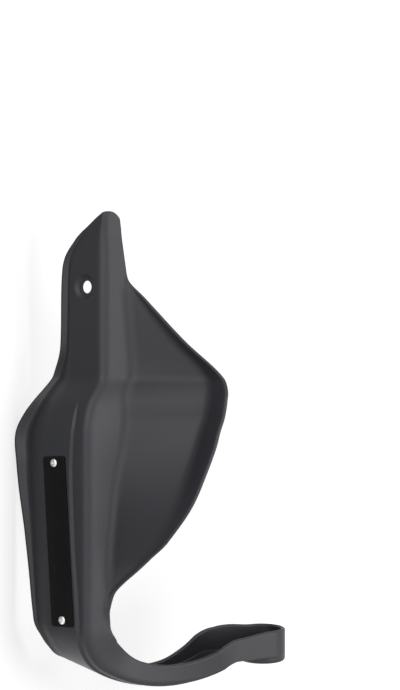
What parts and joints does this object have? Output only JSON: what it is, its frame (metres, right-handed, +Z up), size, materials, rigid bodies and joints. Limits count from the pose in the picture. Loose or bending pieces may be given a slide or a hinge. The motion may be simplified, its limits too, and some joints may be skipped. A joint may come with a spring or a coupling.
{
  "type": "motorcycle hand guard",
  "caption": "Left-hand motorcycle hand guard: moulded shell with a wind deflector blade, bolted at the bar end and at its inner neck, with a blank riveted plate.",
  "frame": {"origin": "axis of the bar-end bolt hole, on the outer face of its boss", "axes": "+X outward along the handlebar, +Y rearward to the rider, +Z up, as mounted on the left bar end"},
  "size_m": [0.3303, 0.174, 0.1463],
  "materials": {
    "shell_plastic": "satin moulded charcoal plastic with a fine grain",
    "plate_black": "smooth black plate, left blank",
    "rivet_aluminium": "bright domed blind rivets"
  },
  "bodies": {
    "root": {"guard_shell": "shell_plastic", "badge_plate": "plate_black", "plate_rivets": "rivet_aluminium"}
  },
  "joints": []
}
